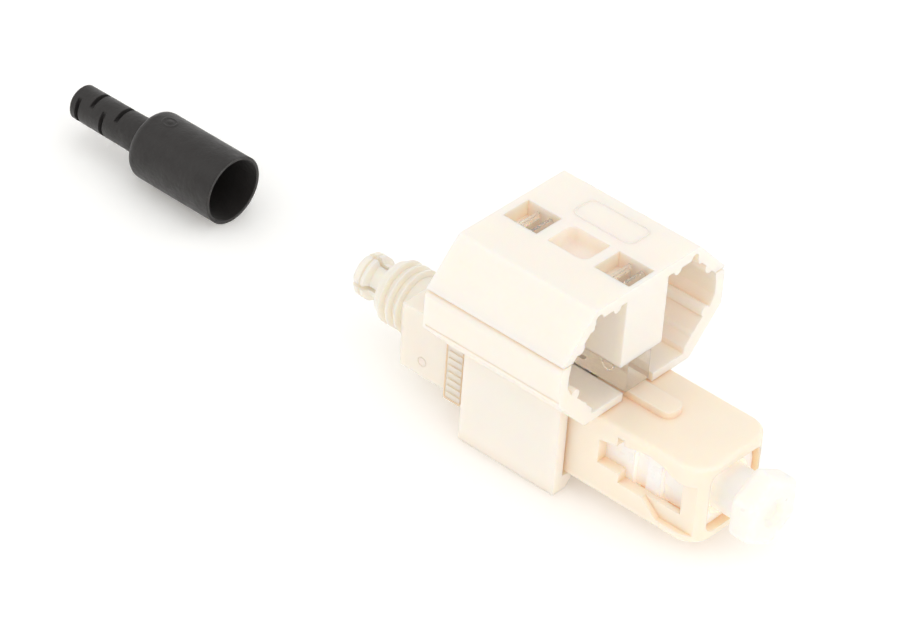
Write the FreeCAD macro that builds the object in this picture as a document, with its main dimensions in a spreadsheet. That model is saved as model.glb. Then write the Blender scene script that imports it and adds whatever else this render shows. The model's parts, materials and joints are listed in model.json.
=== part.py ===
import FreeCAD, Part
import math
import os
import re
import Sketcher

# Field-fitted SC fibre connector with its splice inside, held in a squeeze clip whose clear wedge
# keeps the splice open.  Millimetres.  Origin on the ferrule's axis, level with the grip's front
# edge; +X out of the plug, +Z up through the clip, so the surface it stands on is at -stand_height.

V = FreeCAD.Vector
TURN = 360.0
TURN_ROUND = 2 * math.pi

# name, value, what it is
SIZES = [
    # the grip that is pulled to unlatch the plug
    ("grip_width", 9.0, "SC grip, across"),
    ("grip_height", 7.4, "SC grip, up"),
    ("grip_length", 26.65, "along the axis"),
    ("grip_front", 0.45, "front edge past the origin"),
    ("grip_side_wall", 1.05, "side walls"),
    ("grip_top_wall", 0.75, "top and bottom walls"),
    ("grip_lip", 1.75, "thickness of the front frame"),
    ("opening_round", 0.8, "rounding of the front opening"),
    ("grip_corner", 2.2, "rounding of the front corners in plan"),
    ("grip_edge", 0.35, "rounding of the long edges"),
    ("grip_travel", 1.2, "how far the grip slides back"),
    ("key_width", 2.1, "polarising key, across"),
    ("key_rise", 0.65, "key above the grip"),
    ("key_length", 4.7, "key, along"),
    ("key_setback", 6.3, "key behind the front edge"),
    ("window_length", 8.2, "side window, along"),
    ("window_setback", 2.15, "window behind the front edge"),
    ("window_sill", 1.6, "front sill below the axis"),
    ("window_head", 1.85, "window head above the axis"),
    ("window_arch", 0.9, "rise of the arch over the head"),
    ("step_length", 2.2, "raised rear sill, along"),
    ("step_rise", 0.85, "raised rear sill above the front sill"),
    ("cam_run", 1.6, "ramp that spreads the latch arms, along"),
    ("cam_drop", 1.4, "ramp, down"),
    ("side_recess", 0.55, "depth of the recess ahead of the ramp"),
    ("rib_count", 9, "finger ribs on each side at the back"),
    ("rib_length", 1.5, "finger rib, along"),
    ("rib_width", 0.32, "finger rib, up"),
    ("rib_proud", 0.12, "finger rib above its face"),
    ("rib_margin", 0.75, "finger ribs from the ends of the side"),
    # plug frame
    ("frame_setback", 0.75, "plug frame's face behind the grip's front edge"),
    ("collar_step", 0.35, "front collar inside the inner sleeve, on each side"),
    ("collar_drop", 0.07, "front collar inside the inner sleeve, above and below"),
    ("collar_length", 1.6, "front collar, along"),
    ("collar_round", 1.7, "rounding of the collar's upper edges"),
    ("collar_foot", 0.85, "rounding of the collar's lower edges"),
    ("neck_step", 0.15, "neck inside the collar, on each side"),
    ("neck_drop", 0.18, "neck inside the collar, above and below"),
    ("neck_length", 2.4, "neck, along"),
    ("lug_length", 1.5, "latch flange, along"),
    ("waist_length", 1.3, "waist behind the flange"),
    ("core_clear", 0.15, "inner sleeve off the grip's sides"),
    ("core_gap", 0.1, "inner sleeve off the grip's top and bottom"),
    ("block_cover", 0.6, "rear block past the ferrule's hub"),
    ("mouth_wall", 0.45, "wall beside the bore at the face"),
    ("mouth_depth", 0.9, "depth of the wide mouth"),
    ("throat_step", 0.2, "step from the mouth to the bore behind it"),
    ("seat_wall", 1.0, "wall that the ferrule flange seats on"),
    ("tongue_length", 1.3, "tongues that key the rear body to the frame"),
    ("tongue_half", 1.2, "tongue, half up"),
    ("tongue_thick", 0.5, "tongue, across"),
    # ferrule and splice
    ("ferrule_radius", 1.25, "SC ferrule"),
    ("ferrule_length", 10.5, "SC ferrule"),
    ("ferrule_proud", 1.2, "ferrule past the plug frame's face"),
    ("ferrule_bevel", 0.35, "lead-in at the tip"),
    ("fibre_radius", 0.0625, "125 micrometre glass"),
    ("flange_radius", 2.1, "ferrule flange"),
    ("flange_length", 1.25, "ferrule flange, along"),
    ("hub_radius", 1.75, "hub behind the flange"),
    ("hub_length", 1.0, "hub, along"),
    ("splice_length", 11.3, "splice base, along"),
    ("splice_half", 1.4, "splice, half up"),
    ("splice_deep", 1.5, "splice, from the axis outwards"),
    ("groove_depth", 0.125, "V groove"),
    ("lid_gap", 0.11, "lids held off the base by the wedge"),
    ("lid_length", 3.5, "each of the three lids"),
    ("lid_space", 0.2, "between lids"),
    ("notch_half", 0.5, "wedge notch, half across at the top"),
    ("notch_depth", 1.0, "wedge notch, down"),
    ("clamp_thick", 0.2, "spring clamp sheet"),
    ("clamp_lip", 0.6, "lips of the clamp, across"),
    ("bearing_radius", 1.9, "collar that the spring pushes"),
    ("bearing_length", 0.7, "collar, along"),
    ("float_travel", 0.6, "how far the ferrule floats back"),
    ("spring_radius", 1.55, "spring, mean"),
    ("spring_wire", 0.36, "spring wire, across"),
    ("spring_length", 4.2, "spring as fitted"),
    ("spring_turns", 5, "turns"),
    ("spring_steps", 12, "straight runs in each turn"),
    ("washer_thick", 0.3, "spring washer"),
    # rear body and tail
    ("well_half", 2.15, "splice well, half across and up"),
    ("slot_half", 1.35, "wedge slot in the rear body, half across"),
    ("box_skin", 0.3, "grip's wall beside the rear box"),
    ("box_cover", 0.5, "grip's wall over the rear box"),
    ("box_length", 7.0, "rear box, along"),
    ("box_bevel", 0.9, "bevel of the rear box"),
    ("box_inside", 1.0, "how far the box sits inside the grip"),
    ("stub_radius", 2.45, "tail stub"),
    ("stub_length", 3.8, "tail stub, along"),
    ("barb_radius", 2.9, "barbs that hold the boot"),
    ("barb_count", 3, "barbs"),
    ("barb_first", 0.85, "first barb behind the box"),
    ("barb_pitch", 0.92, "barb to barb"),
    ("barb_length", 0.62, "each barb, along"),
    ("guide_radius", 0.9, "fibre guide tube"),
    ("guide_bore", 0.35, "fibre guide, bore radius"),
    ("shank_radius", 1.45, "collet shank"),
    ("shank_length", 4.6, "collet shank, along"),
    ("jaw_neck", 1.55, "collet neck radius"),
    ("jaw_neck_length", 1.4, "collet neck, along"),
    ("jaw_radius", 2.0, "collet jaws"),
    ("jaw_length", 1.65, "collet jaws, along"),
    ("jaw_slit", 0.4, "slits between the jaws"),
    ("buffer_bore", 0.5, "bore for the 0.9 mm buffered fibre"),
    # clip
    ("stand_height", 5.3, "axis above the surface"),
    ("clip_rear", -24.3, "clip's rear face"),
    ("clip_length", 14.25, "clip, along"),
    ("clip_top", 14.9, "top of the clip above the axis"),
    ("slope_run", 3.67, "sloping walls, across"),
    ("plate_thick", 1.0, "top plate"),
    ("side_half", 9.97, "sides, half across"),
    ("fold_height", 11.08, "fold line above the axis"),
    ("fold_gap", 0.12, "gap along the fold line"),
    ("band_height", 3.5, "upright side bands"),
    ("band_wall", 1.0, "side bands"),
    ("band_round", 0.5, "rounding of the bands' top edge"),
    ("slope_wall", 0.95, "sloping walls, square to their face"),
    ("foot_half", 6.45, "lower end of the sloping walls, half across"),
    ("deck_clear", 0.15, "deck above the grip"),
    ("deck_thick", 0.8, "deck over the grip"),
    ("deck_slot", 1.85, "slot in the deck, half across"),
    ("bridge_length", 1.4, "bridge across the back of the slot"),
    ("bridge_thick", 0.5, "bridge"),
    ("beam_half", 2.5, "hollow beam under the top plate, half across"),
    ("beam_drop", 7.43, "beam's underside below the clip's top"),
    ("flute_radius", 0.45, "flutes inside the clip"),
    ("hinge_radius", 0.45, "hinge grooves inside the clip"),
    ("opening_left", -1.94, "near edge of the top openings"),
    ("opening_right", 1.11, "far edge of the top openings"),
    ("opening_margin", 0.75, "first opening from the rear face"),
    ("hook_opening_rear", 3.5, "rear hook opening, along"),
    ("hook_opening_front", 3.58, "front hook opening, along"),
    ("middle_opening", 3.9, "middle opening, along"),
    ("opening_bar_rear", 1.15, "bar between the rear and middle openings"),
    ("opening_bar_front", 0.95, "bar between the middle and front openings"),
    ("pocket_shallow", 1.5, "middle opening, depth at the far side"),
    ("pocket_deep", 2.9, "middle opening, depth at the near side"),
    ("ledge_depth", 1.45, "hook ledge below the clip's top"),
    ("leg_rear", -23.2, "legs' rear end"),
    ("leg_length", 10.2, "legs, along"),
    ("leg_clear", 0.26, "legs off the grip"),
    ("leg_thick", 1.04, "legs"),
    ("toe_reach", 1.16, "toes under the grip"),
    ("toe_bevel", 0.7, "lead-in under the toes"),
    ("lift_travel", 1.6, "how far squeezing lifts the wedge"),
    # wedge
    ("wedge_half", 1.4, "wedge bar, half across"),
    ("wedge_bottom", 4.42, "wedge bar's underside above the axis"),
    ("wedge_top", 7.27, "wedge bar's top above the axis"),
    ("wedge_inset", 0.1, "wedge bar behind the clip's front face"),
    ("hook_spread", 0.78, "hook arms from the middle of their pair"),
    ("hook_shift", 0.2, "pair ahead of the middle of its opening"),
    ("hook_catch", 0.25, "hook heads over their ledge"),
    ("hook_thick", 0.55, "hook arms, along"),
    ("hook_width", 2.6, "hook arms, across"),
    ("hook_clear", 0.1, "hook arms off the beam"),
    ("hook_head", 0.95, "hook heads, up"),
    ("blade_half", 0.3, "blades, half across"),
    ("blade_tip", 0.75, "blade tip above the axis"),
    ("blade_tip_half", 0.08, "blade tip, half across"),
    ("blade_length", 2.6, "each of the two blades, along"),
    ("blade_first", -21.5, "rear blade's rear end"),
    ("blade_pitch", 3.7, "blade to blade"),
    ("boss_radius", 0.55, "round boss on the wedge"),
    # dust cap
    ("cap_clear", 0.2, "dust cap sleeve inside the plug frame's bore"),
    ("cap_bore", 1.3, "dust cap bore radius"),
    ("cap_reach", 2.2, "sleeve inside the plug frame"),
    ("cap_neck", 2.4, "sleeve past the plug frame"),
    ("cap_head", 3.35, "head radius over its corners"),
    ("cap_head_length", 2.4, "head, along"),
    ("cap_round", 0.6, "rounding of the head"),
    ("cap_dimple", 1.3, "dimple radius in the head's face"),
    ("cap_dimple_depth", 0.4, "dimple depth"),
    # boot, taken off and lying behind
    ("boot_mouth", -56.8, "boot's mouth along the axis"),
    ("boot_side", 2.4, "boot's axis off the connector's"),
    ("boot_radius", 3.2, "boot's cup"),
    ("boot_wall", 0.3, "boot's wall"),
    ("boot_cup", 9.95, "cup, along"),
    ("boot_length", 18.5, "boot, along"),
    ("boot_round", 0.9, "cup's shoulder"),
    ("tail_radius", 1.65, "boot's tail"),
    ("tail_bore", 0.7, "bore of the tail"),
    ("relief_width", 0.45, "strain relief cuts, along"),
    ("relief_core", 1.05, "core left between the cuts, half across"),
    ("relief_pitch", 1.5, "cut to cut"),
    ("relief_first", 0.75, "first cut from the tail's end"),
    ("relief_count", 4, "cuts"),
]

# places worked out from the sizes
DERIVED = {
    "grip_rear": "grip_front - grip_length",
    "cavity_half": "grip_width / 2 - grip_side_wall",
    "cavity_tall": "grip_height / 2 - grip_top_wall",
    "grip_top": "grip_height / 2",
    "window_front": "grip_front - window_setback",
    "window_rear": "window_front - window_length",
    "step_front": "window_rear + step_length",
    "cam_top": "step_front + 2.5",
    "frame_face": "grip_front - frame_setback",
    "collar_rear": "frame_face - collar_length",
    "neck_rear": "collar_rear - neck_length",
    "lug_rear": "neck_rear - lug_length",
    "waist_rear": "lug_rear - waist_length",
    "core_half": "cavity_half - core_clear",
    "core_tall": "cavity_tall - core_gap",
    "collar_half": "core_half - collar_step",
    "collar_tall": "core_tall - collar_drop",
    "neck_half": "collar_half - neck_step",
    "neck_tall": "collar_tall - neck_drop",
    "mouth_radius": "collar_half - mouth_wall",
    "throat_radius": "mouth_radius - throat_step",
    "cap_sleeve": "throat_radius - cap_clear",
    "box_half": "grip_width / 2 - box_skin - 0.1",
    "box_tall": "grip_height / 2 - box_cover - 0.1",
    "ferrule_tip": "frame_face + ferrule_proud",
    "ferrule_rear": "ferrule_tip - ferrule_length",
    "flange_front": "ferrule_rear + 0.95",
    "flange_rear": "flange_front - flange_length",
    "hub_rear": "flange_rear - hub_length",
    "block_rear": "hub_rear - block_cover",
    "seat_rear": "flange_front + 0.05",
    "splice_rear": "hub_rear - splice_length",
    "bearing_rear": "splice_rear - bearing_length",
    "washer_front": "bearing_rear - spring_length",
    "well_rear": "bearing_rear - float_travel - 0.2",
    "box_front": "grip_rear + box_inside",
    "box_rear": "box_front - box_length",
    "stub_rear": "box_rear - stub_length",
    "shank_front": "stub_rear + shank_length",
    "jaw_front": "stub_rear - jaw_neck_length",
    "jaw_rear": "jaw_front - jaw_length",
    "clip_front": "clip_rear + clip_length",
    "plate_half": "side_half - slope_run",
    "fold_top": "fold_height + fold_gap / 2",
    "fold_bottom": "fold_height - fold_gap / 2",
    "band_bottom": "fold_height - band_height",
    "slope_across": "slope_wall * 1.414",
    "deck_bottom": "grip_top + deck_clear",
    "deck_top": "deck_bottom + deck_thick",
    "beam_bottom": "clip_top - beam_drop",
    "plate_bottom": "clip_top - plate_thick",
    "rear_opening": "clip_rear + opening_margin",
    "middle_start": "rear_opening + hook_opening_rear + opening_bar_rear",
    "front_opening": "middle_start + middle_opening + opening_bar_front",
    "ledge_height": "clip_top - ledge_depth",
    "leg_front": "leg_rear + leg_length",
    "leg_inner": "grip_width / 2 + leg_clear",
    "leg_outer": "leg_inner + leg_thick",
    "opening_middle": "(opening_left + opening_right) / 2",
    "wedge_front": "clip_front - wedge_inset",
    "wedge_rear": "clip_rear + 0.4",
    "cap_head_rear": "frame_face + cap_neck",
    "cap_front": "cap_head_rear + cap_head_length",
    "boot_rear": "boot_mouth - boot_length",
    "cup_rear": "boot_mouth - boot_cup",
    "boot_bore": "boot_radius - boot_wall",
}

doc = FreeCAD.newDocument("sc_fibre_connector")
sheet = doc.addObject("Spreadsheet::Sheet", "sizes")
for row, (name, number, meaning) in enumerate(SIZES, 1):
    sheet.set("A%d" % row, name)
    sheet.set("B%d" % row, str(number))
    sheet.set("C%d" % row, meaning)
    sheet.setAlias("B%d" % row, name)
doc.recompute()

HOOK_HALF = "(hook_spread + hook_thick / 2 + hook_clear)"
WORD = re.compile(r"[a-z][a-z_]*")
ALIASES = {name for name, number, meaning in SIZES}
BODIES = {}


def bound(formula):
    """The formula with every derived name written out and every size read from the sheet."""
    formula = str(formula)

    def swap(match):
        word = match.group(0)
        if word in DERIVED:
            return "(" + bound(DERIVED[word]) + ")"
        return "sizes." + word if word in ALIASES else word

    return WORD.sub(swap, formula)


def number(formula):
    return float(sheet.evalExpression(bound(formula)))


def body(label):
    made = doc.addObject("PartDesign::Body", label)
    made.Label = label
    BODIES[label] = made
    return made


def blank_sketch(owner, plane, offset):
    """An empty sketch on one of the body's own planes, moved along that plane's normal."""
    sketch = owner.newObject("Sketcher::SketchObject", "sketch")
    face = [item for item in owner.Origin.OriginFeatures if item.Role == plane + "_Plane"][0]
    sketch.AttachmentSupport = [(face, "")]
    sketch.MapMode = "FlatFace"
    sketch.setExpression("AttachmentOffset.Base.z", bound(offset))
    return sketch


def pin_point(sketch, geometry, point, place):
    """Holds one point of the sketch at a place given by two formulas."""
    for kind, formula in zip(("DistanceX", "DistanceY"), place):
        rule = Sketcher.Constraint(kind, -1, 1, geometry, point, number(formula))
        sketch.setExpression("Constraints[%d]" % sketch.addConstraint(rule), bound(formula))


def add_loop(sketch, corners):
    """A closed outline through corners, each a pair of formulas."""
    first = sketch.GeometryCount
    count = len(corners)
    spots = [V(number(across), number(up), 0) for across, up in corners]
    for step in range(count):
        sketch.addGeometry(Part.LineSegment(spots[step], spots[(step + 1) % count]))
    for step in range(count):
        sketch.addConstraint(
            Sketcher.Constraint("Coincident", first + step, 2, first + (step + 1) % count, 1))
    for step, place in enumerate(corners):
        pin_point(sketch, first + step, 1, place)


def add_circle(sketch, centre, radius):
    index = sketch.addGeometry(Part.Circle(V(number(centre[0]), number(centre[1]), 0),
                                           V(0, 0, 1), number(radius)))
    pin_point(sketch, index, 3, centre)
    rule = Sketcher.Constraint("Radius", index, number(radius))
    sketch.setExpression("Constraints[%d]" % sketch.addConstraint(rule), bound(radius))


def prism(owner, kind, plane, start, end, loops=(), circles=()):
    """A Pad or Pocket between two places along the plane's normal."""
    middle = "((%s) + (%s)) / 2" % (start, end)
    sketch = blank_sketch(owner, plane, middle if plane != "XZ" else "-(%s)" % middle)
    for corners in loops:
        add_loop(sketch, corners)
    for centre, radius in circles:
        add_circle(sketch, centre, radius)
    feature = owner.newObject("PartDesign::" + kind, kind.lower())
    feature.Profile = sketch
    feature.SideType = "Symmetric"
    feature.setExpression("Length", bound("(%s) - (%s)" % (end, start)))
    doc.recompute()
    return feature


def turned(owner, kind, corners):
    """A Revolution or Groove of an outline about the X axis."""
    sketch = blank_sketch(owner, "XY", "0")
    add_loop(sketch, corners)
    feature = owner.newObject("PartDesign::" + kind, kind.lower())
    feature.Profile = sketch
    feature.ReferenceAxis = (sketch, ["H_Axis"])
    feature.Angle = TURN
    doc.recompute()
    return feature


def edges_where(solid, test):
    """Names of the straight edges whose middle and direction pass the test."""
    found = []
    for index, edge in enumerate(solid.Shape.Edges, 1):
        if edge.Curve.TypeId != "Part::GeomLine":
            continue
        ends = [vertex.Point for vertex in edge.Vertexes]
        if test((ends[0] + ends[1]) / 2, (ends[1] - ends[0]).normalize()):
            found.append("Edge%d" % index)
    return found


def dress(owner, kind, size, test):
    """A Fillet or Chamfer of the edges that pass the test."""
    solid = owner.Tip
    feature = owner.newObject("PartDesign::" + kind, kind.lower())
    feature.Base = (solid, edges_where(solid, test))
    feature.setExpression("Radius" if kind == "Fillet" else "Size", bound(size))
    doc.recompute()
    return feature


def near(first, second):
    return abs(first - second) < 0.02


def box(left, right, low, high):
    """Corners of a rectangle."""
    return [(left, low), (right, low), (right, high), (left, high)]


def both(half, low, high):
    """Corners of a rectangle centred on the axis."""
    return box("-(%s)" % half, half, low, high)


def mirrored(half_outline):
    """A closed outline from its +Y half, given from the centre line round to the centre line."""
    return half_outline + [("-(%s)" % across, up) for across, up in reversed(half_outline)]


def side_of(sign, corners):
    """An outline on the +Y or the -Y side."""
    return [("%d * (%s)" % (sign, across), up) for across, up in corners]


def along_x(point, way):
    return abs(way.x) > 0.99


def make_grip():
    grip = body("coupling_shell")
    prism(grip, "Pad", "YZ", "grip_rear", "grip_front", [both("grip_width / 2", "-grip_top", "grip_top")])
    front = number("grip_front")
    dress(grip, "Fillet", "grip_corner", lambda at, way: abs(way.z) > 0.99 and near(at.x, front))
    dress(grip, "Fillet", "grip_edge", lambda at, way: along_x(at, way))
    prism(grip, "Pad", "XY", "grip_top - grip_top_wall / 2", "grip_top + key_rise",
          [both_key()])
    key_front = number("grip_front - key_setback")
    dress(grip, "Fillet", "key_width * 0.4",
          lambda at, way: abs(way.z) > 0.99 and near(at.x, key_front) and at.z > number("grip_top") - 0.1)
    prism(grip, "Pocket", "YZ", "grip_rear", "grip_front - grip_lip",
          [both("cavity_half", "-cavity_tall", "cavity_tall")])
    prism(grip, "Pocket", "YZ", "grip_front - grip_lip - 0.1", "grip_front",
          [both("collar_half + 0.1", "-(collar_tall + 0.1)", "collar_tall + 0.1")])
    opening = number("collar_half + 0.1")
    dress(grip, "Fillet", "opening_round",
          lambda at, way: along_x(at, way) and near(abs(at.y), opening) and at.x > front - 3)
    prism(grip, "Pocket", "YZ", "grip_rear", "grip_rear + box_inside + grip_travel + 0.2",
          [both("box_half + 0.1", "-(box_tall + 0.1)", "box_tall + 0.1")])
    cut_windows(grip)
    prism(grip, "Pocket", "XY", "0", "grip_top + 0.1",
          [box("blade_first - 2", "blade_first + blade_pitch + blade_length + grip_travel + 0.5",
               "-slot_half", "slot_half")])
    add_ribs(grip)


def both_key():
    return [("grip_front - key_setback - key_length", "-key_width / 2"),
            ("grip_front - key_setback", "-key_width / 2"),
            ("grip_front - key_setback", "key_width / 2"),
            ("grip_front - key_setback - key_length", "key_width / 2")]


def cut_windows(grip):
    """Side windows with their sills and arch, and the recess ahead of the cam ramp."""
    outline = [("window_rear", "step_rise - window_sill"),
               ("step_front", "step_rise - window_sill"),
               ("step_front", "-window_sill"),
               ("window_front", "-window_sill"),
               ("window_front", "window_head"),
               ("window_front - 0.6", "window_head + window_arch * 0.15"),
               ("window_front - 1.8", "window_head + window_arch * 0.7"),
               ("window_front - 3.2", "window_head + window_arch"),
               ("step_front + 0.3", "window_head + window_arch * 0.45"),
               ("step_front + 0.3", "window_head + window_arch"),
               ("step_front - 0.4", "window_head + window_arch"),
               ("step_front - 0.4", "window_head"),
               ("window_rear", "window_head - 0.35")]
    prism(grip, "Pocket", "XZ", "-grip_width / 2 - 1", "grip_width / 2 + 1", [outline])
    recess = [("cam_top", "-window_sill - 0.05"),
              ("cam_top + cam_run", "-window_sill - cam_drop"),
              ("grip_front + 0.1", "-window_sill - cam_drop"),
              ("grip_front + 0.1", "window_head"),
              ("cam_top", "window_head")]
    face = "grip_width / 2"
    prism(grip, "Pocket", "XZ", "-%s - 0.1" % face, "-%s + side_recess" % face, [recess])
    prism(grip, "Pocket", "XZ", "%s - side_recess" % face, "%s + 0.1" % face, [recess])


def add_ribs(grip):
    """Finger ribs near the back of both sides."""
    span = "(grip_height - 2 * rib_margin - rib_width)"
    last = number("rib_count") - 1
    ribs = []
    for step in range(int(number("rib_count"))):
        low = "-grip_top + rib_margin + %s * %d / %d" % (span, step, last)
        ribs.append(box("grip_rear + 0.4", "grip_rear + 0.4 + rib_length", low, low + " + rib_width"))
    face = "grip_width / 2"
    prism(grip, "Pad", "XZ", "-%s - rib_proud" % face, "-%s + 0.1" % face, ribs)
    prism(grip, "Pad", "XZ", "%s - 0.1" % face, "%s + rib_proud" % face, ribs)


def make_plug_frame():
    frame = body("plug_frame")
    prism(frame, "Pad", "YZ", "block_rear", "waist_rear", [both("core_half", "-core_tall", "core_tall")])
    prism(frame, "Pad", "YZ", "lug_rear", "neck_rear", [both("core_half", "-core_tall", "core_tall")])
    prism(frame, "Pad", "YZ", "waist_rear - 0.1", "collar_rear + 0.1",
          [both("neck_half", "-neck_tall", "neck_tall")])
    prism(frame, "Pad", "YZ", "collar_rear", "frame_face",
          [both("collar_half", "-collar_tall", "collar_tall")])
    collar = number("collar_half")
    core = number("core_half")
    slim = number("neck_half")
    for side in (slim, collar):
        dress(frame, "Fillet", "collar_round",
              lambda at, way: along_x(at, way) and near(abs(at.y), side) and at.z > 0)
        dress(frame, "Fillet", "collar_foot",
              lambda at, way: along_x(at, way) and near(abs(at.y), side) and at.z < 0)
    dress(frame, "Fillet", "0.8", lambda at, way: along_x(at, way) and near(abs(at.y), core))
    bore = [("frame_face + 0.1", "0"), ("frame_face + 0.1", "mouth_radius"),
            ("frame_face - mouth_depth", "mouth_radius"),
            ("frame_face - mouth_depth - 0.3", "throat_radius"),
            ("seat_rear + seat_wall", "throat_radius"),
            ("seat_rear + seat_wall", "ferrule_radius + 0.15"),
            ("seat_rear", "ferrule_radius + 0.15"),
            ("seat_rear", "flange_radius + 0.1"),
            ("block_rear - 0.1", "flange_radius + 0.1"), ("block_rear - 0.1", "0")]
    turned(frame, "Groove", bore)
    pocket = box("block_rear - 0.1", "block_rear + tongue_length", "-tongue_half", "tongue_half")
    for sign in (-1, 1):
        prism(frame, "Pocket", "XZ", *tongue_span(sign), [pocket])


def tongue_span(sign):
    """Across range of a tongue on one side of the rear body."""
    inner = "flange_radius + 0.35"
    outer = inner + " + tongue_thick"
    return ("-(%s)" % outer, "-(%s)" % inner) if sign < 0 else (inner, outer)


def make_rear_body():
    rear = body("rear_body")
    prism(rear, "Pad", "YZ", "box_rear", "box_front", [both("box_half", "-box_tall", "box_tall")])
    back = number("box_rear")
    dress(rear, "Chamfer", "box_bevel", lambda at, way: near(at.x, back))
    prism(rear, "Pad", "YZ", "box_front - 0.1", "block_rear", [both("core_half", "-core_tall", "core_tall")])
    tongue = box("block_rear - 0.5", "block_rear + tongue_length", "-tongue_half", "tongue_half")
    for sign in (-1, 1):
        prism(rear, "Pad", "XZ", *tongue_span(sign), [tongue])
    stub = [("box_rear + 0.5", "0"), ("box_rear + 0.5", "stub_radius"), ("stub_rear", "stub_radius"),
            ("stub_rear", "0")]
    turned(rear, "Revolution", stub)
    for step in range(int(number("barb_count"))):
        start = "box_rear - barb_first - barb_pitch * %d" % step
        turned(rear, "Revolution", [(start, "stub_radius - 0.1"), (start, "stub_radius"),
                                    (start + " - barb_length * 0.3", "barb_radius"),
                                    (start + " - barb_length * 0.6", "barb_radius"),
                                    (start + " - barb_length", "stub_radius"),
                                    (start + " - barb_length", "stub_radius - 0.1")])
    prism(rear, "Pocket", "YZ", "well_rear", "block_rear + 0.1", [both("well_half", "-well_half", "well_half")])
    bores = [("well_rear + 0.1", "0"), ("well_rear + 0.1", "well_half - 0.1"),
             ("washer_front - washer_thick", "well_half - 0.1"),
             ("washer_front - washer_thick", "guide_radius"),
             ("shank_front", "guide_radius"), ("shank_front", "shank_radius"),
             ("stub_rear - 0.1", "shank_radius"), ("stub_rear - 0.1", "0")]
    turned(rear, "Groove", bores)
    prism(rear, "Pocket", "XY", "0", "core_tall + 0.1",
          [box("blade_first - 1.2", "blade_first + blade_pitch + blade_length + 1.2",
               "-slot_half", "slot_half")])


def make_tail():
    collet = body("tail_collet")
    outline = [("shank_front", "buffer_bore"), ("shank_front", "shank_radius"),
               ("stub_rear", "shank_radius"), ("stub_rear", "jaw_neck"), ("jaw_front", "jaw_neck"),
               ("jaw_front - 0.3", "jaw_radius"), ("jaw_front - 0.65", "jaw_radius"),
               ("jaw_front - 0.75", "jaw_radius - 0.25"), ("jaw_front - 0.85", "jaw_radius"),
               ("jaw_rear + 0.35", "jaw_radius"), ("jaw_rear", "jaw_radius - 0.3"),
               ("jaw_rear", "buffer_bore + 0.35"), ("jaw_rear + 0.5", "buffer_bore")]
    turned(collet, "Revolution", outline)
    slit = "jaw_slit / 2"
    prism(collet, "Pocket", "XY", "-jaw_radius - 0.1", "jaw_radius + 0.1",
          [box("jaw_rear - 0.1", "stub_rear - 0.2", "-%s" % slit, slit)])
    prism(collet, "Pocket", "XZ", "-jaw_radius - 0.1", "jaw_radius + 0.1",
          [box("jaw_rear - 0.1", "stub_rear - 0.2", "-%s" % slit, slit)])

    guide = body("fibre_guide")
    turned(guide, "Revolution", [("shank_front", "guide_bore"), ("shank_front", "guide_radius"),
                                 ("well_rear - 0.05", "guide_radius"), ("well_rear - 0.05", "guide_bore")])

    washer = body("spring_washer")
    turned(washer, "Revolution", [("washer_front - washer_thick", "guide_radius + 0.05"),
                                  ("washer_front - washer_thick", "spring_radius + 0.35"),
                                  ("washer_front", "spring_radius + 0.35"),
                                  ("washer_front", "guide_radius + 0.05")])


def make_ferrule():
    ferrule = body("ferrule")
    turned(ferrule, "Revolution",
           [("ferrule_rear", "fibre_radius"), ("ferrule_rear", "ferrule_radius"),
            ("ferrule_tip - ferrule_bevel", "ferrule_radius"),
            ("ferrule_tip", "ferrule_radius - ferrule_bevel"), ("ferrule_tip", "fibre_radius")])

    flange = body("ferrule_flange")
    turned(flange, "Revolution",
           [("hub_rear", "fibre_radius + 0.1"), ("hub_rear", "hub_radius"),
            ("flange_rear", "hub_radius"), ("flange_rear", "flange_radius"),
            ("flange_front - 0.3", "flange_radius"), ("flange_front", "flange_radius - 0.3"),
            ("flange_front", "ferrule_radius"), ("ferrule_rear", "ferrule_radius"),
            ("ferrule_rear", "fibre_radius + 0.1")])

    stub = body("fibre_stub")
    prism(stub, "Pad", "YZ", "hub_rear - lid_length - 0.2", "ferrule_tip",
          circles=[(("0", "0"), "fibre_radius")])


def make_splice():
    base = body("splice_base")
    notch = [("0", "splice_half - notch_depth"), ("0", "splice_half"), ("-notch_half", "splice_half")]
    outline = [("0", "-splice_half"), ("0", "-groove_depth * 0.577"), ("-groove_depth", "0"),
               ("0", "groove_depth * 0.577"), notch[0], notch[2], ("-splice_deep", "splice_half"),
               ("-splice_deep", "-splice_half")]
    prism(base, "Pad", "YZ", "splice_rear", "hub_rear", [outline])
    prism(base, "Pad", "YZ", "bearing_rear", "splice_rear", circles=[(("0", "0"), "bearing_radius")])
    turned(base, "Groove", [("bearing_rear - 0.1", "0"), ("bearing_rear - 0.1", "guide_bore + 0.2"),
                            ("splice_rear", "fibre_radius + 0.05"), ("splice_rear", "0")])

    lid_outline = [("lid_gap", "-splice_half"), ("lid_gap", "splice_half - notch_depth"),
                   ("lid_gap + notch_half", "splice_half"), ("splice_deep", "splice_half"),
                   ("splice_deep", "-splice_half")]
    for step, label in enumerate(("splice_lid_front", "splice_lid_middle", "splice_lid_rear")):
        front = "hub_rear - 0.2 - (lid_length + lid_space) * %d" % step
        lid = body(label)
        prism(lid, "Pad", "YZ", front + " - lid_length", front, [lid_outline])

    clamp = body("splice_clamp")
    inner = [("-splice_deep", "-splice_half"), ("splice_deep", "-splice_half")]
    outer = "splice_deep + clamp_thick"
    low = "-splice_half - clamp_thick"
    high = "splice_half + clamp_thick"
    outline = [("-(%s)" % outer, low), (outer, low), (outer, high), (outer + " - clamp_lip", high),
               (outer + " - clamp_lip", "splice_half"), ("splice_deep", "splice_half"),
               inner[1], inner[0], ("-splice_deep", "splice_half"),
               ("-(%s - clamp_lip)" % outer, "splice_half"), ("-(%s - clamp_lip)" % outer, high),
               ("-(%s)" % outer, high)]
    prism(clamp, "Pad", "YZ", "splice_rear + 0.3", "block_rear - 0.1", [outline])


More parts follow.
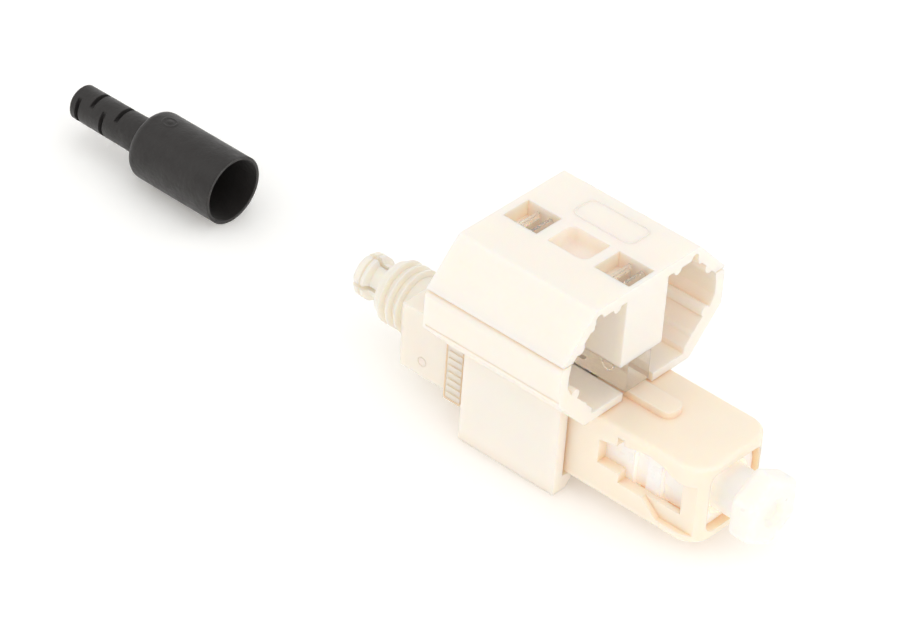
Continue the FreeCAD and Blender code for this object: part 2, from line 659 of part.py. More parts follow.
def make_spring():
    """Coil that pushes the ferrule unit forward: an eight-sided wire swept along short straight runs."""
    radius = number("spring_radius")
    steps = int(number("spring_steps"))
    count = int(number("spring_turns")) * steps
    rise = number("(spring_length - spring_wire - 0.1)") / count
    path = doc.addObject("Part::Polygon", "spring_path")
    path.Nodes = [V(rise * step, radius * math.cos(TURN_ROUND * step / steps),
                    radius * math.sin(TURN_ROUND * step / steps)) for step in range(count + 1)]
    wire = doc.addObject("Part::RegularPolygon", "spring_section")
    wire.Polygon = 8
    wire.setExpression("Circumradius", bound("spring_wire / 2"))
    wire.Placement = FreeCAD.Placement(V(0, radius, 0), FreeCAD.Rotation(V(0, 0, 1), V(rise, 0, 0.8)))
    spring = doc.addObject("Part::Sweep", "ferrule_spring")
    spring.Sections = [wire]
    spring.Spine = (path, ["Edge%d" % step for step in range(1, count + 1)])
    spring.Solid = True
    spring.Frenet = False
    spring.Transition = "Right corner"
    spring.setExpression("Placement.Base.x", bound("washer_front + spring_wire / 2 + 0.05"))
    spring.Label = "ferrule_spring"
    BODIES["ferrule_spring"] = spring
    doc.recompute()


def hook_middle(start, length):
    """Place of the middle of a pair of hook arms."""
    return "(%s + %s / 2 + hook_shift)" % (start, length)


def make_squeeze_frame():
    """Upper half of the clip: top plate, sloping walls, and the hollow beam with its openings."""
    frame = body("squeeze_frame")
    inner_top = "plate_half + plate_thick - slope_across"
    half = [("plate_half", "clip_top"), ("side_half - fold_gap", "fold_top + fold_gap"),
            ("side_half - fold_gap * 2", "fold_top"), ("side_half - slope_across", "fold_top"),
            (inner_top, "plate_bottom"), ("beam_half", "plate_bottom"), ("beam_half", "beam_bottom")]
    prism(frame, "Pad", "YZ", "clip_rear", "clip_front", [mirrored(half)])
    flutes = []
    for sign in (-1, 1):
        flutes.append((("%d * (beam_half + 1.15)" % sign, "plate_bottom"), "flute_radius"))
        flutes.append((("%d * (side_half - slope_across - 0.75)" % sign, "fold_top + 0.95"),
                       "flute_radius * 1.2"))
        flutes.append((("%d * (side_half - slope_across - 2.05)" % sign, "fold_top + 2.2"),
                       "flute_radius * 0.6"))
    prism(frame, "Pad", "YZ", "clip_rear", "clip_front", circles=flutes)
    grooves = [(("%d * (plate_half - 0.5)" % sign, "plate_bottom"), "hinge_radius") for sign in (-1, 1)]
    prism(frame, "Pocket", "YZ", "clip_rear - 0.1", "clip_front + 0.1", circles=grooves)
    top = number("clip_top")
    dress(frame, "Fillet", "0.25",
          lambda at, way: along_x(at, way) and near(at.z, top) and abs(at.y) > number("beam_half"))
    for start, length in (("rear_opening", "hook_opening_rear"), ("front_opening", "hook_opening_front")):
        prism(frame, "Pocket", "XY", "ledge_height", "clip_top + 0.1",
              [box(start, "%s + %s" % (start, length), "opening_left", "opening_right")])
        prism(frame, "Pocket", "XY", "beam_bottom - 0.1", "ledge_height + 0.1",
              [box("%s - %s" % (hook_middle(start, length), HOOK_HALF),
                   "%s + %s" % (hook_middle(start, length), HOOK_HALF), "opening_left", "opening_right")])
    pocket = [("opening_left", "clip_top + 0.1"), ("opening_left", "clip_top - pocket_deep"),
              ("opening_right", "clip_top - pocket_shallow"), ("opening_right", "clip_top + 0.1")]
    prism(frame, "Pocket", "YZ", "middle_start", "middle_start + middle_opening", [pocket])
    right = number("opening_right")
    floor = number("clip_top - pocket_shallow")
    dress(frame, "Fillet", "0.8",
          lambda at, way: along_x(at, way) and near(at.y, right) and near(at.z, floor))
    corners = ((number("middle_start"), number("opening_right")),
               (number("middle_start + middle_opening"), number("opening_left")))
    dress(frame, "Fillet", "0.7",
          lambda at, way: abs(way.z) > 0.99 and any(near(at.x, x) and near(at.y, y) for x, y in corners))


def make_saddle():
    """Lower half of the clip: side bands, lower walls, deck, and the legs that grip the plug."""
    saddle = body("saddle")
    lower_inner = "foot_half - slope_across * 0.6"
    half = [("side_half", "fold_bottom"), ("side_half", "band_bottom"), ("foot_half", "deck_bottom"),
            ("deck_slot", "deck_bottom"), ("deck_slot", "deck_top"), (lower_inner, "deck_top"),
            (lower_inner, "deck_top + 0.5"), ("side_half - band_wall - 1.1", "band_bottom - 0.1"),
            ("side_half - band_wall - 0.5", "band_bottom + 0.35"),
            ("side_half - band_wall", "band_bottom + 1.3"),
            ("side_half - band_wall", "fold_bottom - 1.0"),
            ("side_half - band_wall - 0.2", "fold_bottom")]
    prism(saddle, "Pad", "YZ", "clip_rear", "clip_front", [side_of(1, half), side_of(-1, half)])
    flutes = []
    for sign in (-1, 1):
        flutes.append((("%d * (side_half - band_wall - 1.0)" % sign, "band_bottom + 0.1"),
                       "flute_radius * 1.1"))
        flutes.append((("%d * (foot_half + 0.35)" % sign, "deck_top + 1.2"), "flute_radius"))
    prism(saddle, "Pad", "YZ", "clip_rear", "clip_front", circles=flutes)
    prism(saddle, "Pad", "YZ", "clip_rear", "clip_rear + bridge_length",
          [both("deck_slot + 0.2", "deck_bottom", "deck_bottom + bridge_thick")])
    edge = number("side_half")
    fold = number("fold_bottom")
    dress(saddle, "Fillet", "band_round",
          lambda at, way: along_x(at, way) and near(abs(at.y), edge) and near(at.z, fold))
    lip = []
    for sign in (-1, 1):
        lip.append(side_of(sign, box("side_half - 0.06", "side_half + 0.1",
                                     "band_bottom + 0.28", "band_bottom + 0.42")))
    prism(saddle, "Pocket", "YZ", "clip_rear + 0.3", "clip_front + 0.1", lip)
    leg = [("leg_inner", "deck_bottom + 0.1"), ("leg_outer", "deck_bottom + 0.1"),
           ("leg_outer", "-stand_height"), ("leg_inner - toe_reach + toe_bevel", "-stand_height"),
           ("leg_inner - toe_reach", "-stand_height + toe_bevel"),
           ("leg_inner - toe_reach", "-grip_top - deck_clear - 0.1"),
           ("leg_inner", "-grip_top - deck_clear")]
    prism(saddle, "Pad", "YZ", "leg_rear", "leg_front", [side_of(1, leg), side_of(-1, leg)])


def make_wedge():
    """Clear wedge: a bar under the beam, hook arms up into it, and two blades down to the splice."""
    wedge = body("wedge")
    prism(wedge, "Pad", "YZ", "wedge_rear", "wedge_front", [both("wedge_half", "wedge_bottom", "wedge_top")])
    hooks = []
    for start, length in (("rear_opening", "hook_opening_rear"), ("front_opening", "hook_opening_front")):
        centre = hook_middle(start, length)
        outer = "(hook_spread + hook_thick / 2)"
        low = "ledge_height + 0.06"
        tip = low + " + hook_head"
        for sign in (-1, 1):
            hooks.append([(centre + " + %d * %s" % (sign, across), up) for across, up in (
                ("(%s - hook_thick)" % outer, "wedge_top - 0.1"), (outer, "wedge_top - 0.1"), (outer, low),
                ("(%s + hook_catch)" % outer, low), ("(%s + hook_catch)" % outer, low + " + 0.25"),
                ("(%s - hook_thick / 2)" % outer, tip), ("(%s - hook_thick)" % outer, tip))])
    middle = "opening_middle"
    prism(wedge, "Pad", "XZ", middle + " - hook_width / 2", middle + " + hook_width / 2", hooks)
    blade = [("-blade_half", "wedge_bottom + 0.1"), ("-blade_half", "splice_half"),
             ("-blade_tip_half", "blade_tip"), ("blade_tip_half", "blade_tip"),
             ("blade_half", "splice_half"), ("blade_half", "wedge_bottom + 0.1")]
    for step in (0, 1):
        start = "blade_first + blade_pitch * %d" % step
        prism(wedge, "Pad", "YZ", start, start + " + blade_length", [blade])
    bosses = [(("wedge_front - 1.9 - 5.0 * %d" % step, "wedge_top - 1.0"), "boss_radius") for step in (0, 1, 2)]
    prism(wedge, "Pad", "XZ", "-wedge_half - 0.2", "-wedge_half + 0.1", circles=bosses)


def make_dust_cap():
    cap = body("dust_cap")
    turned(cap, "Revolution",
           [("frame_face - cap_reach", "cap_bore"), ("frame_face - cap_reach", "cap_sleeve"),
            ("cap_head_rear + 0.1", "cap_sleeve"), ("cap_head_rear + 0.1", "cap_bore")])
    corners = []
    for step in range(6):
        angle = math.radians(60 * step + 30)
        corners.append(("cap_head * %.5f" % math.cos(angle), "cap_head * %.5f" % math.sin(angle)))
    prism(cap, "Pad", "YZ", "cap_head_rear", "cap_front", [corners])
    dress(cap, "Fillet", "cap_round",
          lambda at, way: at.x > number("cap_head_rear") - 0.01 and math.hypot(at.y, at.z) > number("cap_sleeve"))
    turned(cap, "Groove",
           [("frame_face - cap_reach - 0.1", "0"), ("frame_face - cap_reach - 0.1", "cap_bore"),
            ("ferrule_tip + 0.6", "cap_bore"), ("ferrule_tip + 1.0", "0")])
    turned(cap, "Groove",
           [("cap_front + 0.1", "0"), ("cap_front + 0.1", "cap_dimple"), ("cap_front", "cap_dimple"),
            ("cap_front - cap_dimple_depth", "cap_dimple * 0.6"), ("cap_front - cap_dimple_depth", "0")])


def make_boot():
    """Rubber boot, off the connector and lying on the surface behind it."""
    boot = body("boot")
    turned(boot, "Revolution",
           [("boot_mouth", "boot_bore"), ("boot_mouth", "boot_radius"), ("cup_rear", "boot_radius"),
            ("cup_rear", "tail_radius + 0.12"), ("cup_rear - 2.0", "tail_radius + 0.04"),
            ("boot_rear + 0.2", "tail_radius"), ("boot_rear", "tail_radius - 0.2"),
            ("boot_rear", "tail_bore"), ("cup_rear + 1.0", "tail_bore"),
            ("cup_rear + 1.8", "boot_bore")])
    round_shoulder(boot)
    for step in range(int(number("relief_count"))):
        start = "boot_rear + relief_first + relief_pitch * %d" % step
        across = [side_of(sign, box("relief_core", "tail_radius + 0.3", "-tail_radius - 0.3",
                                    "tail_radius + 0.3")) for sign in (-1, 1)]
        if step % 2:
            across = [[(up, side) for side, up in loop] for loop in across]
        prism(boot, "Pocket", "YZ", start, start + " + relief_width", across)
    boot.setExpression("Placement.Base.y", bound("boot_side"))
    boot.setExpression("Placement.Base.z", bound("boot_radius - stand_height"))


def round_shoulder(boot):
    """Rounds the circular edge where the cup meets its back."""
    place = number("cup_rear")
    radius = number("boot_radius")
    solid = boot.Tip
    names = []
    for index, edge in enumerate(solid.Shape.Edges, 1):
        if edge.Curve.TypeId == "Part::GeomCircle" and near(edge.Curve.Radius, radius):
            if near(edge.Curve.Center.x, place):
                names.append("Edge%d" % index)
    fillet = boot.newObject("PartDesign::Fillet", "fillet")
    fillet.Base = (solid, names)
    fillet.setExpression("Radius", bound("boot_round"))
    doc.recompute()


def check():
    """Stops at any object that failed or any sub-part without a valid solid."""
    doc.recompute()
    for item in doc.Objects:
        if "Invalid" in item.State or "Error" in item.State:
            raise RuntimeError("%s failed: %s" % (item.Label, item.State))
    for label, item in BODIES.items():
        shape = item.Shape
        if shape.isNull() or not shape.isValid() or len(shape.Solids) != 1:
            raise RuntimeError("%s is not one valid solid" % label)


make_grip()
make_plug_frame()
make_rear_body()
make_tail()
make_ferrule()
make_splice()
make_spring()
make_squeeze_frame()
make_saddle()
make_wedge()
make_dust_cap()
make_boot()
check()

os.makedirs("parts", exist_ok=True)
for label, item in BODIES.items():
    item.Shape.exportStep("parts/%s.step" % label)
    print(label, round(item.Shape.Volume, 3), [round(edge, 2) for edge in (
        item.Shape.BoundBox.XMin, item.Shape.BoundBox.XMax, item.Shape.BoundBox.YMin,
        item.Shape.BoundBox.YMax, item.Shape.BoundBox.ZMin, item.Shape.BoundBox.ZMax)])
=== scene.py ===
import bpy
import bmesh
import json
import math
from mathutils import Matrix, Vector


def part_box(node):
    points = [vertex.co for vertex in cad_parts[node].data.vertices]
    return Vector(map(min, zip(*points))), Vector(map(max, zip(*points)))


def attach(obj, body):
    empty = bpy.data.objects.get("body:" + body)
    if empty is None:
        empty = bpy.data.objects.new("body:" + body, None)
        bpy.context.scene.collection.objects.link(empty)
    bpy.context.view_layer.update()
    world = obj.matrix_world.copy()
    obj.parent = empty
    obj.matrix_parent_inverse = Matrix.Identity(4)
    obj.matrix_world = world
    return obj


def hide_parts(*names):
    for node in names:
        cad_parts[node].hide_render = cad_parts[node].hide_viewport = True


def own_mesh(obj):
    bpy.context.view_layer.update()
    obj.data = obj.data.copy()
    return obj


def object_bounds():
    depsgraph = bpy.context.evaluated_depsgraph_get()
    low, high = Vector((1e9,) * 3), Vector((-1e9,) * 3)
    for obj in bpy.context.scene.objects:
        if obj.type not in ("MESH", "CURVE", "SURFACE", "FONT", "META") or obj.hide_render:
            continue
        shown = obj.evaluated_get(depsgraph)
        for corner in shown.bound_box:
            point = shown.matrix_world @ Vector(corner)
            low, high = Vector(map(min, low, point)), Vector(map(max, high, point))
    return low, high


MM = 0.001
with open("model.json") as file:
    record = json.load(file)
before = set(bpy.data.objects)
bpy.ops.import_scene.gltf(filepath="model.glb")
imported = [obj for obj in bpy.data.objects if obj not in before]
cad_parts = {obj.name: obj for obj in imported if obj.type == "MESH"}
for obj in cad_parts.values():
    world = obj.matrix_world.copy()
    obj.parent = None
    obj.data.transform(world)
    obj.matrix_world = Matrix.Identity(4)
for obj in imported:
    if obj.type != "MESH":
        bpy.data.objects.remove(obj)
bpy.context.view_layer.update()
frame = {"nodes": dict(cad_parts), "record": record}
nodes = frame["nodes"]
scene = bpy.context.scene


# ---------------------------------------------------------------- materials
class Shader:
    """A node tree with one Principled shader, built by short calls.

    Scales of noise are in cycles per metre.
    """

    def __init__(self, name):
        self.material = bpy.data.materials.new(name)
        self.material.use_nodes = True
        self.tree = self.material.node_tree
        self.surface = self.tree.nodes["Principled BSDF"]
        self.place = self.add("ShaderNodeTexCoord").outputs["Object"]

    def add(self, kind, **values):
        """Adds a node, with each value set on its property or its input of that name."""
        node = self.tree.nodes.new(kind)
        for key, value in values.items():
            if hasattr(node, key):
                setattr(node, key, value)
            else:
                node.inputs[key.replace("_", " ")].default_value = value
        return node

    def link(self, source, target):
        self.tree.links.new(source, target)

    def drive(self, source, socket):
        """Links a source to an input of the surface."""
        self.link(source, self.surface.inputs[socket])

    def set(self, **values):
        """Sets inputs of the surface."""
        for key, value in values.items():
            self.surface.inputs[key.replace("_", " ")].default_value = value

    def noise(self, scale, detail=3.0, roughness=0.5):
        node = self.add("ShaderNodeTexNoise", Scale=scale, Detail=detail, Roughness=roughness)
        self.link(self.place, node.inputs["Vector"])
        return node.outputs["Fac"]

    def spread(self, source, low, high, start=0.3, end=0.7):
        """Stretches the part of a source from start to end over low to high."""
        node = self.add("ShaderNodeMapRange",
                        From_Min=start, From_Max=end, To_Min=low, To_Max=high)
        self.link(source, node.inputs["Value"])
        return node.outputs["Result"]

    def mix(self, factor, first, second):
        """Blends two colours, each of them a value or a socket."""
        node = self.add("ShaderNodeMix", data_type="RGBA")
        factor_in, first_in, second_in = node.inputs[0], node.inputs[6], node.inputs[7]
        self.link(factor, factor_in)
        for socket, value in ((first_in, first), (second_in, second)):
            if isinstance(value, tuple):
                socket.default_value = value + (1.0,)
            else:
                self.link(value, socket)
        colour_out = node.outputs[2]
        return colour_out

    def patches(self, tone, shade, scale, detail=3.0, roughness=0.5):
        """A colour that drifts from tone to shade."""
        return self.mix(self.spread(self.noise(scale, detail, roughness), 0.0, 1.0), tone, shade)

    def hollows(self, strength, reach, samples, closed, open_air):
        """A value that rises from zero to strength in corners no wider than reach, in mm."""
        node = self.add("ShaderNodeAmbientOcclusion", samples=samples, Distance=reach * MM)
        return self.spread(node.outputs["AO"], strength, 0.0, closed, open_air)

    def roughen(self, low, high, scale, detail=3.0):
        """Roughness that drifts from low to high."""
        self.drive(self.spread(self.noise(scale, detail), low, high), "Roughness")

    def skin(self, edge, strength, height, scale, detail):
        """Softened edges with a fine texture over them; edge and height are in millimetres."""
        bevel = self.add("ShaderNodeBevel", samples=4, Radius=edge * MM)
        fine = self.add("ShaderNodeBump", Strength=strength, Distance=height * MM)
        self.link(self.noise(scale, detail), fine.inputs["Height"])
        self.link(bevel.outputs["Normal"], fine.inputs["Normal"])
        self.drive(fine.outputs["Normal"], "Normal")


def moulded(name, tone, shade, rough=0.42, edge=0.12, grain=0.35, glow=0.7, depth=1.1,
            painted_shade_tone=None, painted_glow_strength=0.0):
    """Moulded plastic: faint cloudiness, a fine tool texture and light under the skin.

    glow is how much light goes under the skin, and depth how far, in millimetres. The shade tone
    is painted shade: narrow corners are darkened towards it. The glow strength is painted light:
    a warm glow of that strength in the hollows, in place of light that passes thin walls.
    """
    look = Shader(name)
    colour = look.patches(tone, shade, scale=140.0, detail=4.0)
    # Painted shade: the colour is darkened towards a shade tone in narrow corners, by ambient
    # occlusion.
    if painted_shade_tone:
        painted_shade_mask = look.hollows(1.0, reach=1.6, samples=6, closed=0.15, open_air=0.85)
        colour = look.mix(painted_shade_mask, colour, painted_shade_tone)
    # Painted light: a warm glow is added in the hollows, by ambient occlusion, in place of light
    # that passes thin walls.
    if painted_glow_strength:
        painted_glow_mask = look.hollows(painted_glow_strength, reach=7.0, samples=4, closed=0.1, open_air=0.75)
        look.drive(painted_glow_mask, "Emission Strength")
        look.set(Emission_Color=(1.0, 0.85, 0.68, 1.0))
    look.drive(colour, "Base Color")
    look.roughen(rough - 0.07, rough + 0.07, scale=900.0)
    look.skin(edge, grain, height=0.012, scale=5200.0, detail=2.0)
    look.set(Subsurface_Weight=glow, Subsurface_Scale=depth * MM,
             Subsurface_Radius=(1.0, 0.72, 0.46))
    return look.material


def clear(name, tone, rough, transmission, edge=0.08):
    """Clear moulded plastic or glass, a little streaked, with a faint painted glow."""
    look = Shader(name)
    streak = tuple(0.93 * part for part in tone)
    look.drive(look.patches(tone, streak, scale=260.0), "Base Color")
    look.roughen(rough, rough + 0.08, scale=700.0)
    look.skin(edge, 0.25, height=0.01, scale=1800.0, detail=2.0)
    # Painted light: the faint emission is a glow that brightens the clear plastic.
    look.set(Transmission_Weight=transmission, IOR=1.16,
             Coat_Weight=1.0, Coat_Roughness=0.03, Coat_IOR=1.5,
             Emission_Color=(0.95, 1.0, 0.95, 1.0), Emission_Strength=0.03)
    return look.material


def metal(name, tone, rough):
    """Bare metal with a faintly worn surface."""
    look = Shader(name)
    worn = tuple(0.8 * part for part in tone)
    look.drive(look.patches(tone, worn, scale=1500.0), "Base Color")
    look.roughen(rough - 0.05, rough + 0.1, scale=2600.0)
    look.set(Metallic=1.0)
    return look.material


def rubber(name, tone, shade):
    """Soft black rubber with a dull bloom and a fine pebble."""
    look = Shader(name)
    look.drive(look.patches(tone, shade, scale=220.0, detail=5.0, roughness=0.6), "Base Color")
    look.roughen(0.42, 0.62, scale=800.0, detail=4.0)
    look.skin(0.1, 1.0, height=0.05, scale=2300.0, detail=3.0)
    look.set(Sheen_Weight=0.12, Sheen_Roughness=0.5, Specular_IOR_Level=0.4)
    return look.material


# Each look, by the slot or the mark that it is for: what makes it, and from what values.
# The shade tones and glow strengths in these recipes are painted shade and painted light.
RECIPES = {
    "beige_plastic": (moulded, dict(
        tone=(0.965, 0.835, 0.715), shade=(0.955, 0.815, 0.69), rough=0.40, depth=1.4,
        painted_shade_tone=(0.90, 0.66, 0.45), painted_glow_strength=0.035)),
    "ivory_plastic": (moulded, dict(
        tone=(0.905, 0.84, 0.755), shade=(0.89, 0.825, 0.735), rough=0.42, depth=1.6,
        painted_shade_tone=(0.905, 0.825, 0.715), painted_glow_strength=0.035)),
    "clip_plastic": (moulded, dict(
        tone=(0.935, 0.86, 0.79), shade=(0.925, 0.85, 0.775), rough=0.36, edge=0.15, depth=1.4,
        painted_shade_tone=(0.885, 0.755, 0.615), painted_glow_strength=0.10)),
    "white_plastic": (moulded, dict(
        tone=(0.99, 0.975, 0.94), shade=(0.985, 0.965, 0.925), rough=0.30, depth=1.6,
        painted_shade_tone=(0.99, 0.96, 0.91), painted_glow_strength=0.25)),
    "cap_plastic": (moulded, dict(
        tone=(0.905, 0.885, 0.845), shade=(0.895, 0.875, 0.835), rough=0.34, edge=0.2,
        grain=0.2, glow=0.9, depth=2.4, painted_shade_tone=(0.94, 0.915, 0.87), painted_glow_strength=0.18)),
    "clear_plastic": (clear, dict(tone=(1.0, 0.975, 0.935), rough=0.02, transmission=0.94)),
    "zirconia": (moulded, dict(
        tone=(0.92, 0.91, 0.88), shade=(0.90, 0.89, 0.86), rough=0.15, edge=0.05,
        grain=0.05, glow=0.3, depth=0.5)),
    "metal": (metal, dict(tone=(0.80, 0.76, 0.66), rough=0.28)),
    "glass_fibre": (clear, dict(tone=(0.97, 0.98, 1.0), rough=0.02, transmission=1.0, edge=0.01)),
    "splice_plastic": (moulded, dict(
        tone=(0.10, 0.10, 0.11), shade=(0.08, 0.08, 0.09), rough=0.45, glow=0.0)),
    "clamp_metal": (metal, dict(tone=(0.78, 0.76, 0.72), rough=0.25)),
    "spring_steel": (metal, dict(tone=(0.66, 0.66, 0.67), rough=0.22)),
    "guide_plastic": (moulded, dict(
        tone=(0.82, 0.82, 0.80), shade=(0.80, 0.80, 0.78), rough=0.4, glow=0.2)),
    "boot_rubber": (rubber, dict(
        tone=(0.0145, 0.0125, 0.0115), shade=(0.0195, 0.0170, 0.0160))),
    # Painted highlight: the clip border is a shade lighter than the clip's own plastic, for its
    # lit top.
    "clip_mark_painted_highlight": (moulded, dict(
        tone=(0.95, 0.89, 0.83), shade=(0.94, 0.88, 0.815), rough=0.34, glow=0.0)),
    # Painted shade: the pin marks take the rear body's darker corner tone.
    "ivory_mark_painted_shade": (moulded, dict(
        tone=(0.90, 0.82, 0.71), shade=(0.89, 0.80, 0.69), rough=0.40, glow=0.0)),
    # Painted shade: the rib borders take the grip's darker corner tone.
    "beige_mark_painted_shade": (moulded, dict(
        tone=(0.90, 0.70, 0.48), shade=(0.88, 0.68, 0.46), rough=0.40, glow=0.0)),
}
LOOKS = {name: make(name, **values) for name, (make, values) in RECIPES.items()}


def dress(node, look):
    """Gives a CAD piece its look and smooth shading, with its edges kept sharp."""
    if not node.material_slots:
        node.data.materials.append(None)
    for held in node.material_slots:
        held.material = look
    for polygon in node.data.polygons:
        polygon.use_smooth = True
    node.data.set_sharp_from_angle(angle=math.radians(32))


for part in frame["record"]["subparts"]:
    dress(nodes[part["node"]], LOOKS[part["material_slot"]])


# ---------------------------------------------------------------- moulded marks
def settle(piece, body, slot, look=None):
    """Puts a new piece in the scene with a body to ride on and a look, the slot's unless another
    is given.
    """
    scene.collection.objects.link(piece)
    piece.data.materials.append(LOOKS[look or slot])
    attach(piece, body)


def bead(name, body, slot, look, route, thick, closed=True):
    """A thin raised line of the plastic itself, half sunk in its face."""
    line = bpy.data.curves.new(name, "CURVE")
    line.dimensions = "3D"
    line.bevel_depth = thick * MM
    line.bevel_resolution = 3
    run = line.splines.new("POLY")
    run.points.add(len(route) - 1)
    for held, place in zip(run.points, route):
        held.co = (*place, 1.0)
    run.use_cyclic_u = closed
    settle(bpy.data.objects.new(name, line), body, slot, look)


def arc(across, up, radius, first, last, steps=8):
    """Points of an arc in a flat sheet, in millimetres, with its ends in degrees."""
    turns = [math.radians(first + (last - first) * step / steps) for step in range(steps + 1)]
    return [(across + radius * math.cos(turn), up + radius * math.sin(turn)) for turn in turns]


def rounded(left, low, right, high, radius):
    """Outline of a rounded rectangle, in millimetres."""
    corners = ((right - radius, high - radius), (left + radius, high - radius),
               (left + radius, low + radius), (right - radius, low + radius))
    return [point for quarter, (across, up) in enumerate(corners)
            for point in arc(across, up, radius, 90 * quarter, 90 * (quarter + 1))]


def on_top(outline, corner, height):
    """Lays an outline flat, from a corner of a box."""
    return [(corner[0] + along * MM, corner[1] + across * MM, height)
            for along, across in outline]


def on_side(outline, corner, side):
    """Stands an outline up on a face square to Y."""
    return [(corner[0] + along * MM, side, corner[1] + up * MM) for along, up in outline]


def clip_border():
    """Blank raised border on the clip's top, on the far side of the openings."""
    low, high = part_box("squeeze_frame")
    middle = 0.5 * (low[1] + high[1])
    rear, front = -10.1, -3.9       # from the clip's front edge
    near, far = 2.35, 5.05          # from its middle
    sunk = 0.01
    route = on_top(rounded(rear, near, front, far, radius=0.7), (high[0], middle),
                   high[2] - sunk * MM)
    # The border's look is a painted highlight, lighter than the clip's plastic.
    bead("clip_border", "wedge_unit", "clip_plastic", "clip_mark_painted_highlight", route, thick=0.07)


def rib_borders():
    """Raised borders round the finger ribs on both sides of the grip."""
    low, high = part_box("coupling_shell")
    grip_half = 4.5 * MM
    rear, front = 0.12, 1.86        # from the grip's rear edge
    half_tall = 3.32
    outline = rounded(rear, -half_tall, front, half_tall, radius=0.25)
    # The borders' look is painted shade, darker than the grip's plastic.
    for name, side in (("rib_border_left", -grip_half), ("rib_border_right", grip_half)):
        bead(name, "coupling", "beige_plastic", "beige_mark_painted_shade",
             on_side(outline, (low[0], 0.0), side), thick=0.075)


def ejector_marks():
    """Faint rings that the mould's pins leave on the sides of the rear body."""
    low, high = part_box("rear_body")
    start = high[0] - 25.8 * MM     # the marks are placed from here, on the ferrule's axis
    ring = arc(across=7.0, up=-1.66, radius=0.42, first=0, last=345, steps=24)
    bow = arc(across=8.35, up=2.3, radius=0.6, first=115, last=245, steps=10)
    # The marks' look is painted shade, darker than the rear body's plastic.
    for name, side in (("left", low[1]), ("right", high[1])):
        for kind, outline, closed in (("pin_ring_", ring, True), ("pin_bow_", bow, False)):
            bead(kind + name, "connector", "ivory_plastic", "ivory_mark_painted_shade",
                 on_side(outline, (start, 0.0), side), thick=0.035, closed=closed)


def gate_mark():
    """Small crater with a nub on top of the boot's cup, where its mould was filled."""
    low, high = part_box("boot")
    radius = 0.5 * (high[2] - low[2])
    centre = (high[0] - 7.7 * MM, 0.5 * (low[1] + high[1]), 0.5 * (low[2] + high[2]))
    around = 40
    stretch = 1.15                  # the crater is a little longer than it is wide
    # Distance from its middle and height over the cup, in millimetres: nub, moat, rim.
    profile = ((0.02, 0.10), (0.14, 0.095), (0.24, 0.06), (0.30, 0.0),
               (0.34, -0.03), (0.44, -0.03), (0.50, 0.02),
               (0.56, 0.065), (0.62, 0.07), (0.68, 0.04), (0.74, -0.03))
    shape = bmesh.new()
    rings = []
    for out, rise in profile:
        reach = radius + rise * MM
        ring = []
        for step in range(around):
            turn = 2.0 * math.pi * step / around
            bend = out * MM * math.sin(turn) / radius
            ring.append(shape.verts.new((centre[0] + stretch * out * MM * math.cos(turn),
                                         centre[1] + reach * math.sin(bend),
                                         centre[2] + reach * math.cos(bend))))
        rings.append(ring)
    shape.faces.new(rings[0])
    for inner, outer in zip(rings, rings[1:]):
        for step in range(around):
            after = (step + 1) % around
            shape.faces.new((inner[step], outer[step], outer[after], inner[after]))
    mesh = bpy.data.meshes.new("gate_mark")
    shape.normal_update()
    shape.to_mesh(mesh)
    shape.free()
    for polygon in mesh.polygons:
        polygon.use_smooth = True
    settle(bpy.data.objects.new("gate_mark", mesh), "connector", "boot_rubber")


def ferrule_coil():
    """A copy of the ferrule's spring that rides on the connector in place of the CAD piece; on
    the real part it shortens towards its washer as the ferrule is pushed in.
    """
    coil = bpy.data.objects.new("ferrule_coil", nodes["ferrule_spring"].data.copy())
    scene.collection.objects.link(coil)
    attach(coil, "connector")
    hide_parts("ferrule_spring")
    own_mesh(coil)


clip_border()
rib_borders()
ejector_marks()
gate_mark()
ferrule_coil()


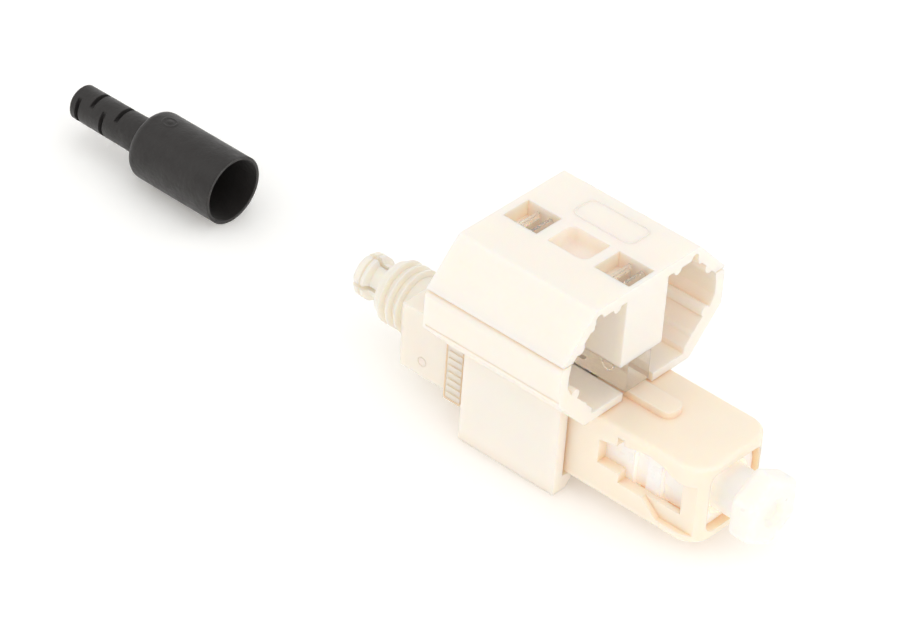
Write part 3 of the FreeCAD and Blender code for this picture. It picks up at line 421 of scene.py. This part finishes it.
# ---------------------------------------------------------------- stage
def seamless_floor():
    """Pale paper under the part, with a little light of its own and soft shadows."""
    gap = 0.02
    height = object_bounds()[0][2] - gap * MM
    bpy.ops.mesh.primitive_plane_add(size=4.0, location=(0, 0, height))
    floor = bpy.context.object
    floor.name = "floor"
    look = Shader("floor_paper")
    look.drive(look.mix(look.noise(30.0), (0.955, 0.955, 0.945), (0.945, 0.945, 0.935)),
               "Base Color")
    look.set(Roughness=0.7, Specular_IOR_Level=0.2,
             Emission_Color=(1.0, 0.98, 0.94, 1.0), Emission_Strength=0.14,
             Subsurface_Weight=1.0, Subsurface_Scale=7.0 * MM, Subsurface_Radius=(1.0, 0.95, 0.9))
    look.surface.subsurface_method = "BURLEY"
    floor.data.materials.append(look.material)


def studio_sky():
    """Even light from all round."""
    world = bpy.data.worlds.new("studio")
    scene.world = world
    world.use_nodes = True
    sky = world.node_tree.nodes["Background"]
    sky.inputs["Color"].default_value = (1.0, 0.995, 0.985, 1.0)
    sky.inputs["Strength"].default_value = 0.84


def softbox(name, place, size, power, aim=(-0.02, 0.0, 0.0)):
    """A soft rectangular lamp turned to a point; place, size and aim are in metres."""
    lamp = bpy.data.lights.new(name, "AREA")
    lamp.shape = "RECTANGLE"
    lamp.size, lamp.size_y = size
    lamp.energy = power
    lamp.color = (1.0, 0.995, 0.98)
    holder = bpy.data.objects.new(name, lamp)
    scene.collection.objects.link(holder)
    holder.location = place
    holder.rotation_euler = (Vector(aim) - Vector(place)).to_track_quat("-Z", "Y").to_euler()


def long_lens():
    """Camera at the product-shot angle, far off and with a long lens."""
    place = Vector((160.236, -230.977, 223.082)) * MM
    right = Vector((0.74059, 0.66910, 0.06184))
    up = Vector((-0.43878, 0.41185, 0.79865))
    back = Vector((0.50891, -0.61861, 0.59860))
    camera = bpy.data.cameras.new("camera")
    holder = bpy.data.objects.new("camera", camera)
    scene.collection.objects.link(holder)
    turn = Matrix((right, up, back)).transposed()
    holder.matrix_world = Matrix.Translation(place) @ turn.to_4x4()
    camera.sensor_width = 36.0
    camera.lens = 182.14
    camera.shift_x = 0.0008
    camera.shift_y = 0.011
    camera.clip_start = 0.01
    camera.clip_end = 10.0
    scene.camera = holder


seamless_floor()
studio_sky()
softbox("key_light", place=(-0.28, -0.42, 0.50), size=(0.42, 0.42), power=0.42)
softbox("top_light", place=(0.05, 0.05, 0.62), size=(0.60, 0.60), power=0.56)
softbox("side_light", place=(0.45, -0.12, 0.30), size=(0.40, 0.30), power=0.4)
long_lens()
scene.view_settings.view_transform = "Standard"
scene.view_settings.look = "None"
